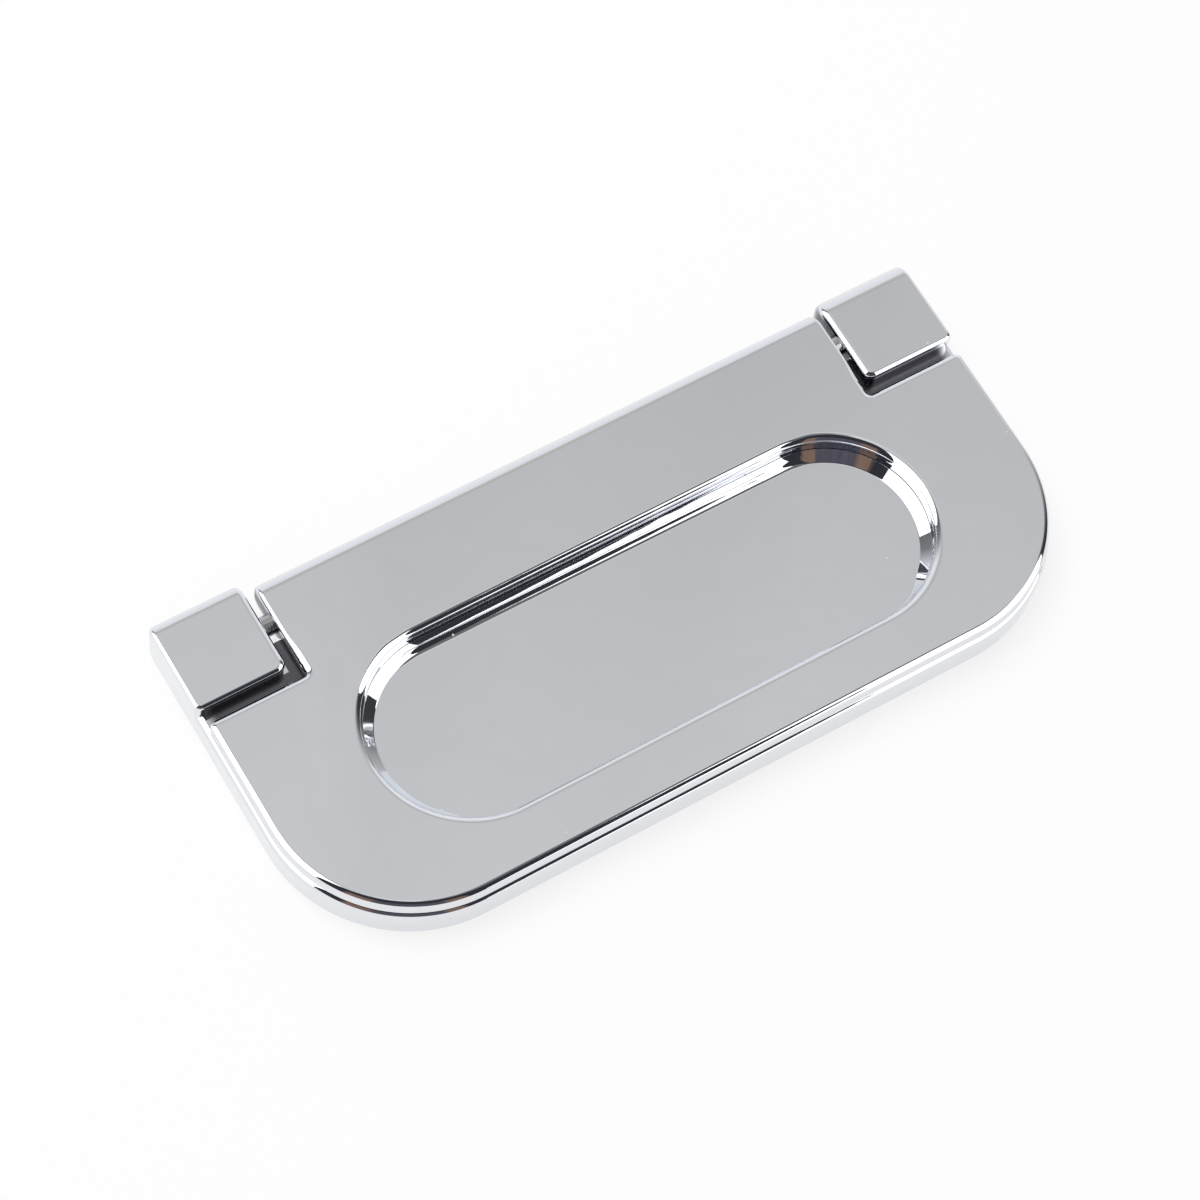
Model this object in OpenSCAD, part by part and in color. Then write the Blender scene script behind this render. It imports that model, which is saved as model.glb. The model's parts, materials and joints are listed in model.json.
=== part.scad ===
// Folding pull handle: a cast base with two hinge blocks and a finger pocket, and a ring-shaped flap that
// folds up about two pins. Closed pose. X runs along the hinge, -Y is the front edge, Z = 0 is the mounting face.

/* [Overall] */
// Length of the base along the hinge
overall_length = 120; // [112:1:140]
// Depth of the base, from its front edge to the back of the hinge blocks
overall_depth = 54.8; // [53:0.2:62]
// Height of the closed handle over the mounting face
overall_height = 8; // [8:0.1:8.6]
// Radius of the two front corners of the base
front_corner_r = 21.3; // [12:0.1:24]

/* [Hinge blocks] */
// Width of a block along the hinge
block_width = 14.1; // [13:0.1:16]
// Depth of a block, front to back
block_depth = 14.3; // [13.5:0.1:15]
// Radius of the upright corner beside the flap
block_corner_r = 1.5; // [1:0.1:2]
// Rounding of the blocks' top edge at the back
block_back_r = 3.2; // [2:0.1:3.6]
// Rounding of the blocks' bottom edge at the back
block_foot_r = 2; // [1:0.1:3]

/* [Flap] */
// Thickness of the flap's plate
flap_thickness = 2.4; // [2:0.1:2.5]
// Width of the base's rim that shows outside the flap
flap_ledge = 0.45; // [0.3:0.05:1.2]
// Gap between the flap and the inner side of a block
notch_side_gap = 1.25; // [0.8:0.05:2]
// Gap between the flap and the front of a block
notch_front_gap = 1.85; // [1:0.05:3]
// Radius of the flap's outer corner at the notch
notch_outer_r = 1.2; // [1.1:0.1:2]
// Radius in the inner corner of the notch
notch_inner_r = 0.5; // [0.3:0.1:1]
// Rounding of the flap's top edge at the back
flap_back_r = 2.6; // [1.5:0.1:2.6]

/* [Finger opening] */
// Length of the opening at its rim
opening_length = 87.8; // [70:0.2:92]
// Distance from the front of the base to the rim of the opening
opening_front_margin = 8.25; // [6:0.05:10]
// Distance from the rim of the opening to the line of the notches
opening_back_margin = 0.8; // [0.5:0.1:4]
// Depth of the pocket in the base under the opening
pocket_depth = 1.5; // [1:0.1:2]
// Ledge of the pocket's top edge inside the flap's opening
pocket_step = 0.1; // [0:0.05:0.3]
// How far the pocket's wall leans inward from top to floor
pocket_slope = 1.3; // [0.6:0.1:1.8]

/* [Hinge] */
// Diameter of the hinge pins
pin_d = 3; // [2.5:0.1:3]
// Length of a pin inside its block
pin_in_block = 6; // [4:0.5:6]
// Length of a pin inside the flap's rail
pin_in_flap = 10; // [6:0.5:14]
// Chamfer on the pin ends
pin_chamfer = 0.3; // [0.1:0.1:0.5]
// Radius of the rail's round underside about the axis
rail_r = 2.4; // [2.3:0.1:2.6]
// Height of the hinge axis over the mounting face
axis_height = 5.8; // [5.6:0.05:5.8]
// Distance of the hinge axis from the back of the blocks
axis_from_back = 6.9; // [6.5:0.05:7.2]
// Rounding of the rail's bottom edge at the back
rail_back_r = 1.9; // [1.8:0.05:1.95]

/* [Back of the base] */
// Diameter of the tapped fixing holes before threading
screw_hole_d = 3.3; // [2.5:0.1:3.3]
// Depth of the fixing holes
screw_hole_depth = 6; // [4:0.5:6.5]
// Distance between the two fixing holes
screw_spacing = 110; // [110:0.5:111]
// Depth of the shallow cores in the mounting face
core_depth = 1.9; // [0.5:0.1:2]
// Width of the ribs between the cores
core_rib = 2.5; // [2:0.5:5]
// Radius of the cores' corners
core_corner_r = 2; // [1:0.5:3]
// Number of cores along the base
core_columns = 4; // [2:1:6]

/* [Edges and clearances] */
// Roundover on the flap's top edges
flap_edge_r = 1; // [0.5:0.1:1]
// Roundover on the blocks' edges
block_edge_r = 0.7; // [0.4:0.1:0.9]
// Roundover on the base's top edge
base_edge_r = 0.6; // [0.3:0.1:0.8]
// Seam between the flap and the base
seam_gap = 0.15; // [0.1:0.05:0.3]
// Radial clearance of a pin in the flap's bore
pin_clearance = 0.05; // [0.02:0.01:0.1]
// Clearance past a pin's end in its bore
pin_end_clearance = 0.2; // [0.1:0.1:0.5]
// Clearance between the rail and the base when the flap stands open
stop_clearance = 0.1; // [0.05:0.05:0.3]
// Clearance of the flap's tail over the mounting face when the flap stands open
tail_clearance = 0.1; // [0.1:0.05:0.3]

/* [Hidden] */
half_l = overall_length / 2;
front_y = -overall_depth / 2;
back_y = overall_depth / 2;
corner_x = half_l - front_corner_r;
corner_y = front_y + front_corner_r;

block_in_x = half_l - block_width;
block_front_y = back_y - block_depth;

axis_y = back_y - axis_from_back;
flap_top_z = overall_height;
flap_low_z = flap_top_z - flap_thickness;
base_top_z = flap_low_z - seam_gap;

flap_x = half_l - flap_ledge;
flap_front_y = front_y + flap_ledge;
flap_corner_r = front_corner_r - flap_ledge;
notch_x = block_in_x - notch_side_gap;
notch_y = block_front_y - notch_front_gap;
flap_tail = axis_height - tail_clearance;
flap_back_y = axis_y + flap_tail;

opening_front_y = front_y + opening_front_margin;
opening_width = notch_y - opening_back_margin - opening_front_y;
opening_r = opening_width / 2 - flap_edge_r;
opening_end_x = opening_length / 2 - opening_width / 2;
opening_y = opening_front_y + opening_width / 2;
pocket_top_r = opening_r - pocket_step;
pocket_floor_r = pocket_top_r - pocket_slope;
pocket_floor_z = base_top_z - pocket_depth;

pin_r = pin_d / 2;
pin_length = pin_in_block + notch_side_gap + pin_in_flap;
pin_inner_x = notch_x - pin_in_flap;
base_back_y = axis_y - rail_r - stop_clearance;

core_front_y = front_y + flap_corner_r / 3;
core_back_y = base_back_y - core_rib;
core_half_x = block_in_x - core_rib;
core_pitch = (2 * core_half_x + core_rib) / core_columns;
core_rows = 2;
core_row_pitch = (core_back_y - core_front_y + core_rib) / core_rows;

over = 0.3;
chrome = [0.80, 0.81, 0.83];
steel = [0.62, 0.63, 0.65];
$fn = 96;

// The shape and its mirror image at the other end of the handle
module both_ends() {
    children();
    mirror([1, 0, 0]) children();
}

// What a roundover of radius r takes off an edge: x runs into the solid, y up from its top
module edge_profile(r) {
    difference() {
        translate([-over, -r]) square([r + over, r + over]);
        translate([r, -r]) circle(r);
    }
}

// Roundover along a straight top edge from a to b, with the solid on the left of the way
module edge_line(a, b, z, r) {
    way = b - a;
    translate([a[0], a[1], z]) rotate([0, 0, atan2(way[1], way[0])]) rotate([90, 0, 90])
        linear_extrude(norm(way)) edge_profile(r);
}

// Roundover along a curved top edge that turns round solid (convex) or round a space
module edge_arc(c, radius, from, sweep, z, r, convex) {
    translate([c[0], c[1], z]) rotate([0, 0, from]) rotate_extrude(angle = sweep)
        translate([radius, 0]) mirror([convex ? 1 : 0, 0]) edge_profile(r);
}

// Roundover where a side wall at x meets the rounded back edge of radius bend, solid towards -X
module edge_bend(x, y, z, bend, from, sweep, r) {
    translate([x, y, z]) rotate([90, 0, 90]) rotate([0, 0, from]) rotate_extrude(angle = sweep)
        translate([bend, 0]) rotate([0, 0, -90]) edge_profile(r);
}

// What a rounding of radius r takes off the corner at the origin of a solid that lies in -x and -y
module corner_off(r) {
    difference() {
        translate([-r, -r]) square([r + over, r + over]);
        translate([-r, -r]) circle(r);
    }
}

// Slot with round ends about the middle of the finger opening
module stadium(r) {
    translate([-opening_end_x, opening_y - r]) square([2 * opening_end_x, 2 * r]);
    for (s = [-1, 1]) translate([s * opening_end_x, opening_y]) circle(r);
}

// Outline with two round front corners and a straight back
module plate_outline(x, front, corner, back) {
    translate([-x, corner_y]) square([2 * x, back - corner_y]);
    translate([-corner_x, front]) square([2 * corner_x, corner_y - front + over]);
    intersection() {
        for (s = [-1, 1]) translate([s * corner_x, corner_y]) circle(corner);
        translate([-x, front]) square([2 * x, corner_y - front + over]);
    }
}

// Roundover round the front and sides of such an outline, as far back as y
module outline_edge(x, front, corner, y, z, r) {
    edge_line([-corner_x, front], [corner_x, front], z, r);
    edge_arc([corner_x, corner_y], corner, -90, 90, z, r, true);
    edge_arc([-corner_x, corner_y], corner, 180, 90, z, r, true);
    edge_line([x, corner_y], [x, y], z, r);
    edge_line([-x, y], [-x, corner_y], z, r);
}

module pin_bore(r, from_x, to_x) {
    translate([from_x, axis_y, axis_height]) rotate([0, 90, 0]) cylinder(h = to_x - from_x, r = r);
}

// Finger pocket with a leaning wall
module pocket() {
    rise = over / pocket_depth * pocket_slope;
    for (s = [-1, 1]) translate([s * opening_end_x, opening_y, pocket_floor_z])
        cylinder(h = pocket_depth + over, r1 = pocket_floor_r, r2 = pocket_top_r + rise);
    translate([-opening_end_x, opening_y, pocket_floor_z]) rotate([90, 0, 90])
        linear_extrude(2 * opening_end_x) polygon([
            [-pocket_floor_r, 0], [pocket_floor_r, 0],
            [pocket_top_r + rise, pocket_depth + over], [-pocket_top_r - rise, pocket_depth + over]]);
}

// Right-hand hinge block
module hinge_block() {
    bend_y = back_y - block_back_r;
    bend_z = overall_height - block_back_r;
    difference() {
        translate([block_in_x, block_front_y, 0])
            cube([block_width, block_depth, overall_height]);
        // upright corner beside the flap, above the base
        translate([block_in_x, block_front_y, base_top_z]) rotate([0, 0, 180])
            linear_extrude(overall_height) corner_off(block_corner_r);
        // rounded back
        translate([block_in_x - over, back_y, overall_height]) rotate([90, 0, 90])
            linear_extrude(block_width + 2 * over) corner_off(block_back_r);
        translate([block_in_x - over, back_y, 0]) rotate([90, 0, 90])
            linear_extrude(block_width + 2 * over) mirror([0, 1]) corner_off(block_foot_r);
        // top edges
        edge_line([block_in_x + block_corner_r, block_front_y], [half_l + over, block_front_y],
            overall_height, block_edge_r);
        edge_arc([block_in_x + block_corner_r, block_front_y + block_corner_r], block_corner_r, 180, 90,
            overall_height, block_edge_r, true);
        edge_line([block_in_x, bend_y], [block_in_x, block_front_y + block_corner_r],
            overall_height, block_edge_r);
        edge_line([half_l, block_front_y - over], [half_l, bend_y], overall_height, block_edge_r);
        edge_bend(half_l, bend_y, bend_z, block_back_r, 0, 90, block_edge_r);
        translate([block_in_x, 0, 0]) mirror([1, 0, 0])
            edge_bend(0, bend_y, bend_z, block_back_r, 0, 90, block_edge_r);
        // upright back edges
        translate([half_l, back_y, -over]) linear_extrude(bend_z + over) corner_off(block_edge_r);
        translate([block_in_x, back_y, -over]) mirror([1, 0, 0])
            linear_extrude(bend_z + over) corner_off(block_edge_r);
    }
}

// Shallow cores that leave a rim and ribs on the mounting face
module back_cores() {
    for (i = [0 : core_columns - 1], j = [0 : core_rows - 1])
        translate([-core_half_x + i * core_pitch, core_front_y + j * core_row_pitch, -over])
            core(core_pitch - core_rib, core_row_pitch - core_rib);
}

module core(w, d) {
    linear_extrude(core_depth + over) {
        translate([core_corner_r, 0]) square([w - 2 * core_corner_r, d]);
        translate([0, core_corner_r]) square([w, d - 2 * core_corner_r]);
        for (x = [core_corner_r, w - core_corner_r], y = [core_corner_r, d - core_corner_r])
            translate([x, y]) circle(core_corner_r);
    }
}

module base_plate() {
    color(chrome) difference() {
        union() {
            difference() {
                linear_extrude(base_top_z)
                    plate_outline(half_l, front_y, front_corner_r, block_front_y + block_corner_r);
                outline_edge(half_l, front_y, front_corner_r, block_front_y, base_top_z, base_edge_r);
                pocket();
                back_cores();
            }
            translate([-block_in_x, block_front_y, 0])
                cube([2 * block_in_x, base_back_y - block_front_y, base_top_z]);
            both_ends() hinge_block();
        }
        back_cores();
        both_ends() {
            pin_bore(pin_r, block_in_x - over, block_in_x + pin_in_block + pin_end_clearance);
            translate([screw_spacing / 2, axis_y, -over])
                cylinder(h = screw_hole_depth + over, d = screw_hole_d);
        }
    }
}

// Cross-section of the hinge rail about the axis: y to the back, z up
module rail_section() {
    top = overall_height - axis_height;
    intersection() {
        circle(rail_r);
        translate([-rail_r, -rail_r]) square([2 * rail_r, rail_r]);
    }
    difference() {
        translate([0, -rail_r]) square([flap_tail, rail_r + top]);
        translate([flap_tail, top]) corner_off(flap_back_r);
        translate([flap_tail, -rail_r]) mirror([0, 1]) corner_off(rail_back_r);
    }
}

module flap_blank() {
    translate([0, 0, flap_low_z]) linear_extrude(flap_thickness) difference() {
        union() {
            plate_outline(flap_x, flap_front_y, flap_corner_r, notch_y);
            translate([-notch_x, notch_y - over]) square([2 * notch_x, axis_y - notch_y + over]);
            for (s = [-1, 1]) translate([s * notch_x, notch_y]) mirror([s < 0 ? 1 : 0, 0])
                difference() {
                    translate([-over, -over]) square(notch_inner_r + over);
                    translate([notch_inner_r, notch_inner_r]) circle(notch_inner_r);
                }
        }
        for (s = [-1, 1]) translate([s * flap_x, notch_y]) mirror([s < 0 ? 1 : 0, 0])
            corner_off(notch_outer_r);
        stadium(opening_r);
    }
    translate([-notch_x, axis_y, axis_height]) rotate([90, 0, 90])
        linear_extrude(2 * notch_x) rail_section();
}

// Roundovers on the right-hand half of the flap's back part
module notch_edges() {
    bend_y = flap_back_y - flap_back_r;
    bend_z = flap_top_z - flap_back_r;
    edge_arc([flap_x - notch_outer_r, notch_y - notch_outer_r], notch_outer_r, 0, 90,
        flap_top_z, flap_edge_r, true);
    edge_line([flap_x - notch_outer_r, notch_y], [notch_x + notch_inner_r, notch_y],
        flap_top_z, flap_edge_r);
    edge_arc([notch_x + notch_inner_r, notch_y + notch_inner_r], notch_inner_r, 180, 90,
        flap_top_z, flap_edge_r, false);
    edge_line([notch_x, notch_y + notch_inner_r], [notch_x, bend_y], flap_top_z, flap_edge_r);
    edge_bend(notch_x, bend_y, bend_z, flap_back_r, 0, 90, flap_edge_r);
}

module opening_edge() {
    edge_line([opening_end_x, opening_y - opening_r], [-opening_end_x, opening_y - opening_r],
        flap_top_z, flap_edge_r);
    edge_line([-opening_end_x, opening_y + opening_r], [opening_end_x, opening_y + opening_r],
        flap_top_z, flap_edge_r);
    edge_arc([opening_end_x, opening_y], opening_r, -90, 180, flap_top_z, flap_edge_r, false);
    edge_arc([-opening_end_x, opening_y], opening_r, 90, 180, flap_top_z, flap_edge_r, false);
}

module flap() {
    color(chrome) difference() {
        flap_blank();
        outline_edge(flap_x, flap_front_y, flap_corner_r, notch_y - notch_outer_r, flap_top_z, flap_edge_r);
        both_ends() notch_edges();
        opening_edge();
        both_ends() pin_bore(pin_r + pin_clearance, pin_inner_x - pin_end_clearance, notch_x + over);
    }
}

// Pin at the right-hand end
module hinge_pin() {
    translate([pin_inner_x, axis_y, axis_height]) rotate([0, 90, 0]) {
        cylinder(h = pin_chamfer, r1 = pin_r - pin_chamfer, r2 = pin_r);
        translate([0, 0, pin_chamfer]) cylinder(h = pin_length - 2 * pin_chamfer, r = pin_r);
        translate([0, 0, pin_length - pin_chamfer])
            cylinder(h = pin_chamfer, r1 = pin_r, r2 = pin_r - pin_chamfer);
    }
}

module hinge_pin_left() {
    color(steel) mirror([1, 0, 0]) hinge_pin();
}

module hinge_pin_right() {
    color(steel) hinge_pin();
}

base_plate();
flap();
hinge_pin_left();
hinge_pin_right();
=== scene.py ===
"""Folding pull handle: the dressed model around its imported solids."""

import json
from math import atan2, cos, degrees, pi, radians, sin, sqrt, tan
from types import SimpleNamespace

import bpy
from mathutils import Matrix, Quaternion, Vector
from mathutils.geometry import tessellate_polygon


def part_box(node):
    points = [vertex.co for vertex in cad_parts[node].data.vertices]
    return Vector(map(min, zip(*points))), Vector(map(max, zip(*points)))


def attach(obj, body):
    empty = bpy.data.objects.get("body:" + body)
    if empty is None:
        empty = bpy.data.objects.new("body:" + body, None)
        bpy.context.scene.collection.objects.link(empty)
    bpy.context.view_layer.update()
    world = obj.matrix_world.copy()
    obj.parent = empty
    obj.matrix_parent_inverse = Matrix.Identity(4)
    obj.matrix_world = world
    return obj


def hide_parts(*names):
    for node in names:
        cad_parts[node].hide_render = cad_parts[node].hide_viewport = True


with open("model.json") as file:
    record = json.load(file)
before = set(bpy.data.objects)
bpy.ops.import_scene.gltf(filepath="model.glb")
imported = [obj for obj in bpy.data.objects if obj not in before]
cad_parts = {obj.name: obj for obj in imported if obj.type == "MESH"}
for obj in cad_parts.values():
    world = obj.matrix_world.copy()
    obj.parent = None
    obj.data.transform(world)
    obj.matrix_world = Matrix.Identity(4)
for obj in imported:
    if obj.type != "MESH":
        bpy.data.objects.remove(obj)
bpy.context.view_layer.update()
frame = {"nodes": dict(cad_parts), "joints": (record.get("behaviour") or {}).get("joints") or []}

bl_info = {
    "name": "Folding pull handle",
    "version": (1, 0, 0),
    "blender": (4, 5, 0),
    "location": "View3D > Sidebar > Handle",
    "description": "Plated flap, base and hinge pins of a folding pull handle, with its studio",
    "category": "Object",
}

MM = 0.001
BASE_LOW, BASE_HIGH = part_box("base_plate")
FLAP_LOW, FLAP_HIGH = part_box("flap")
# Place of the hinge line, in millimetres
HINGE_Y, HINGE_Z = (part / MM for part in frame["joints"][0]["pos_m"][1:])


# Settings

def length(name, description, mm):
    """A length setting, given in millimetres and kept in metres."""
    return bpy.props.FloatProperty(
        name=name, description=description, default=mm * MM, unit="LENGTH", subtype="DISTANCE", precision=5)


def colour(name, description, value):
    """A colour setting."""
    return bpy.props.FloatVectorProperty(
        name=name, description=description, default=value, subtype="COLOR", min=0.0, max=1.0)


def angle(name, description, value):
    """An angle setting, given in degrees and kept in radians."""
    return bpy.props.FloatProperty(
        name=name, description=description, default=radians(value), subtype="ANGLE")


def share(name, description, value):
    """A setting between 0 and 1."""
    return bpy.props.FloatProperty(
        name=name, description=description, default=value, subtype="FACTOR", min=0.0, max=1.0)


class FlapSizes(bpy.types.PropertyGroup):
    """Sizes of the folding flap."""
    half_x: length("Half length", "Half of the flap's length", FLAP_HIGH.x / MM)
    front: length("Front", "Place of the front edge", FLAP_LOW.y / MM)
    back: length("Back", "Place of the back edge", FLAP_HIGH.y / MM)
    top: length("Top", "Height of the top face", FLAP_HIGH.z / MM)
    under: length("Underside", "Height of the plate's underside", 5.6)
    corner: length("Front corners", "Radius of the front corners", 20.85)
    edge: length("Top edge", "Roundover of the outline", 1.0)
    notch_edge: length("Notch edge", "Roundover of the notches", 1.15)
    bore_edge: length("Bore edge", "Roundover over the pin bores", 0.63)
    taper: length("Taper", "Length over which the roundover shrinks towards the bores", 4.5)
    low_edge: length("Lower edge", "Break of the lower edge", 0.2)
    notch_x: length("Notch wall", "Place of the wall beside a block", 44.65)
    notch_y: length("Notch front", "Place of the wall before a block", 11.15)
    notch_out: length("Notch corner", "Radius of the outer notch corner", 1.2)
    notch_in: length("Notch root", "Radius in the inner notch corner", 0.5)
    back_r: length("Back rounding", "Rounding of the back edge on top", 2.3)
    rail_r: length("Rail", "Radius of the rail about the pins", 2.4)
    rail_back: length("Rail back", "Rounding of the rail's lower back edge", 1.9)
    bore: length("Bore", "Radius of the pin bores", 1.55)
    bore_end: length("Bore end", "Place of a bore's inner end", 34.45)
    slot_x: length("Opening ends", "Place of the centres of the opening's ends", 28.8)
    slot_y: length("Opening middle", "Place of the opening's middle line", -4.6)
    slot_r: length("Opening radius", "Radius of the opening's wall", 14.0)
    slot_edge: length("Opening edge", "Roundover of the opening's top edge", 1.3)
    slot_far: length("Far edge", "Roundover of the opening's top edge on its far side", 1.05)
    slot_low: length("Opening foot", "Break of the opening's lower edge", 0.05)


class BaseSizes(bpy.types.PropertyGroup):
    """Sizes of the base with its two hinge blocks."""
    half_x: length("Half length", "Half of the base's length", BASE_HIGH.x / MM)
    front: length("Front", "Place of the front edge", BASE_LOW.y / MM)
    back: length("Back", "Place of the back of the blocks", BASE_HIGH.y / MM)
    top: length("Top", "Height of the plate's top face", 5.45)
    block_top: length("Block top", "Height of the blocks", BASE_HIGH.z / MM)
    corner: length("Front corners", "Radius of the front corners", 21.3)
    edge: length("Top edge", "Roundover of the plate's top edge", 1.1)
    low_edge: length("Lower edge", "Break of the lower edge", 0.25)
    block_x: length("Block side", "Place of a block's inner side", 45.9)
    block_shift: length("Block shift", "Sideways shift of the blocks' inner sides, the hinge's play", 0.3)
    block_y: length("Block front", "Place of a block's front", 13.1)
    block_edge: length("Block edge", "Roundover of a block's top edges", 0.65)
    block_lip: length("Inner edge", "Roundover of a block's top edge beside the flap", 1.0)
    block_in: length("Inner corner", "Radius of the upright corner beside the flap", 1.5)
    block_out: length("Outer corner", "Radius of the outer upright corner", 1.1)
    block_back: length("Right back", "Rounding of the right block's top back edge", 2.8)
    block_back_left: length("Left back", "Rounding of the left block's top back edge", 2.0)
    block_foot: length("Block foot", "Rounding of a block's lower back edge", 2.0)
    block_side: length("Back corners", "Roundover of a block's back corners", 1.1)
    rear: length("Rear wall", "Place of the wall before the rail", 18.0)
    pocket_x: length("Pocket ends", "Place of the centres of the pocket's ends", 28.8)
    pocket_y: length("Pocket middle", "Place of the pocket's middle line", -4.6)
    pocket_top: length("Pocket rim", "Radius of the pocket at its rim", 13.95)
    pocket_z: length("Pocket floor", "Height of the pocket's floor", 4.1)
    pocket_slope: angle("Pocket wall", "Slope of the pocket's wall", 43.0)
    pocket_rise: angle("Far wall", "How much steeper the far wall is", 2.0)
    pocket_near: angle("Near wall", "How much steeper the near wall is", 24.0)
    pocket_belly: angle("Wall belly", "How much steeper the far wall gets towards its foot", 8.0)
    pocket_rim: length("Rim break", "Rounding of the pocket's rim", 0.05)
    pocket_cove: length("Cove", "Fillet between the pocket's wall and floor", 0.3)
    pocket_far: length("Far cove", "Fillet between the pocket's wall and floor on the far side", 1.5)
    screw_x: length("Screw spacing", "Half of the distance between the fixing holes", 55.0)
    screw_r: length("Screw hole", "Radius of a fixing hole", 1.65)
    screw_depth: length("Screw depth", "Depth of a fixing hole", 6.0)
    core_depth: length("Core depth", "Depth of the cores in the mounting face", 1.9)
    core_x: length("Core span", "Half of the length that the cores take", 43.4)
    core_front: length("Core front", "Front of the cores", -20.45)
    core_back: length("Core back", "Back of the cores", 15.5)
    core_rib: length("Ribs", "Width of the ribs between the cores", 2.5)
    core_corner: length("Core corners", "Radius of the cores' corners", 2.0)


class FinishSettings(bpy.types.PropertyGroup):
    """Colours and polish of the plating and of the pins."""
    plating: colour("Plating", "Colour of the bright plating", (0.787, 0.802, 0.832))
    polish: share("Polish", "Roughness of the bright plating", 0.02)
    # Colour of painted shade in the gaps between the flap and the hinge blocks, where the plating is darkened
    gap_shade_colour: colour("Painted_shade", "Colour of the plating in the gaps", (0.13, 0.13, 0.145))
    dust: colour("Dust", "Colour of the specks of dust", (0.93, 0.93, 0.93))
    steel: colour("Steel", "Colour of the pins", (0.52, 0.52, 0.53))
    turning: share("Turning", "Roughness of the pins", 0.16)


class StudioSettings(bpy.types.PropertyGroup):
    """Camera, floor, lamp and panels."""
    eye: bpy.props.FloatVectorProperty(
        name="Camera", description="Place of the camera", subtype="TRANSLATION", unit="LENGTH",
        default=(-0.15401, -0.168915, 0.481483))
    aim: bpy.props.FloatVectorProperty(
        name="Turn", description="Turn of the camera", subtype="QUATERNION", size=4,
        default=(0.942832, 0.198362, -0.098339, -0.249097))
    lens: bpy.props.FloatProperty(
        name="Lens", description="Focal length on a 36 mm frame", subtype="DISTANCE_CAMERA", default=116.892)
    floor: colour("Floor", "Colour of the floor", (0.92, 0.92, 0.92))
    floor_glow: share("Floor glow", "Share of plain white in what is seen of the floor", 0.75)
    fill: share("Fill", "Level of the light from all round", 0.6)
    lamp_place: bpy.props.FloatVectorProperty(
        name="Lamp", description="Place of the lamp", subtype="TRANSLATION", unit="LENGTH",
        default=(-0.3, 0.5, 1.4))
    lamp_size: bpy.props.FloatProperty(
        name="Lamp size", description="Side of the square lamp", default=1.0, unit="LENGTH")
    lamp_power: bpy.props.FloatProperty(
        name="Lamp power", description="Power of the lamp", default=12.5, unit="POWER")
    reach: bpy.props.FloatProperty(
        name="Panels", description="Distance of the nearest studio panel", default=1.5, unit="LENGTH")
    spacing: share("Spacing", "Distance from one panel to the next, as a share of the nearest one's", 0.25)


def in_mm(sizes):
    """The settings of a group: lengths in millimetres, angles in radians."""
    plain = {}
    for key in type(sizes).__annotations__:
        unit = MM if sizes.bl_rna.properties[key].unit == "LENGTH" else 1.0
        plain[key] = getattr(sizes, key) / unit
    return SimpleNamespace(**plain)


# Shader maths

class Wire:
    """An output socket whose arithmetic adds Math nodes to its tree."""

    def __init__(self, tree, socket=None):
        self.tree = tree
        self.socket = socket

    def node(self, kind, settings=None, sockets=None, out=0):
        """A wire from a new node, which gets its settings first, then its sockets' values or links."""
        made = self.tree.nodes.new(kind)
        for key, value in (settings or {}).items():
            if key == "stops":
                ramp = made.color_ramp.elements
                while len(ramp) < len(value):
                    ramp.new(1.0)
                for stop, (place, shade) in zip(ramp, value):
                    stop.position = place
                    stop.color = (*shade, 1.0)
            else:
                setattr(made, key, value)
        for key, value in (sockets or {}).items():
            if isinstance(value, Wire):
                self.tree.links.new(value.socket, made.inputs[key])
            else:
                made.inputs[key].default_value = value
        return Wire(self.tree, made.outputs[out] if len(made.outputs) else None)

    def maths(self, operation, a, b=0.0, c=0.0):
        """One Math node."""
        return self.node("ShaderNodeMath", {"operation": operation}, {0: a, 1: b, 2: c})

    def __add__(self, other):
        return self.maths("ADD", self, other)

    def __radd__(self, other):
        return self.maths("ADD", other, self)

    def __sub__(self, other):
        return self.maths("SUBTRACT", self, other)

    def __rsub__(self, other):
        return self.maths("SUBTRACT", other, self)

    def __mul__(self, other):
        return self.maths("MULTIPLY", self, other)

    def __rmul__(self, other):
        return self.maths("MULTIPLY", other, self)


# Places of a Mix node's sockets for colours: share, both colours and the result
MIX_SHARE, MIX_LOW, MIX_HIGH, MIX_OUT = 0, 6, 7, 2
WHITE = (1.0, 1.0, 1.0)


def new_material(name):
    """An empty node material and the wire that starts its expressions."""
    made = bpy.data.materials.new(name)
    made.use_nodes = True
    made.node_tree.nodes.clear()
    return made, Wire(made.node_tree)


def opaque(shade):
    """A colour as a socket takes it; a wire stays as it is."""
    return shade if isinstance(shade, Wire) else (*shade, 1.0)


def mix(wire, amount, low, high):
    """The colour low where amount is 0, and high where it is 1."""
    return wire.node("ShaderNodeMix", {"data_type": "RGBA"}, {
        MIX_SHARE: amount, MIX_LOW: opaque(low), MIX_HIGH: opaque(high)}, MIX_OUT)


def multiply(wire, one, other):
    """Two colours multiplied."""
    return wire.node("ShaderNodeVectorMath", {"operation": "MULTIPLY"}, {0: one, 1: other})


def coordinate(wire, place, axis):
    """One coordinate of a place."""
    return wire.node("ShaderNodeSeparateXYZ", None, {"Vector": place}, axis)


def smooth(wire, value, low, high):
    """0 below low and 1 above high, or the other way round when low is the larger one."""
    return wire.node("ShaderNodeMapRange", {"interpolation_type": "SMOOTHSTEP"}, {
        "Value": value, "From Min": low, "From Max": high, "To Min": 0.0, "To Max": 1.0})


def noise(wire, place, scale, detail, roughness=0.5):
    """Soft noise between 0 and 1."""
    return wire.node("ShaderNodeTexNoise", None, {
        "Vector": place, "Scale": scale, "Detail": detail, "Roughness": roughness})
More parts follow.
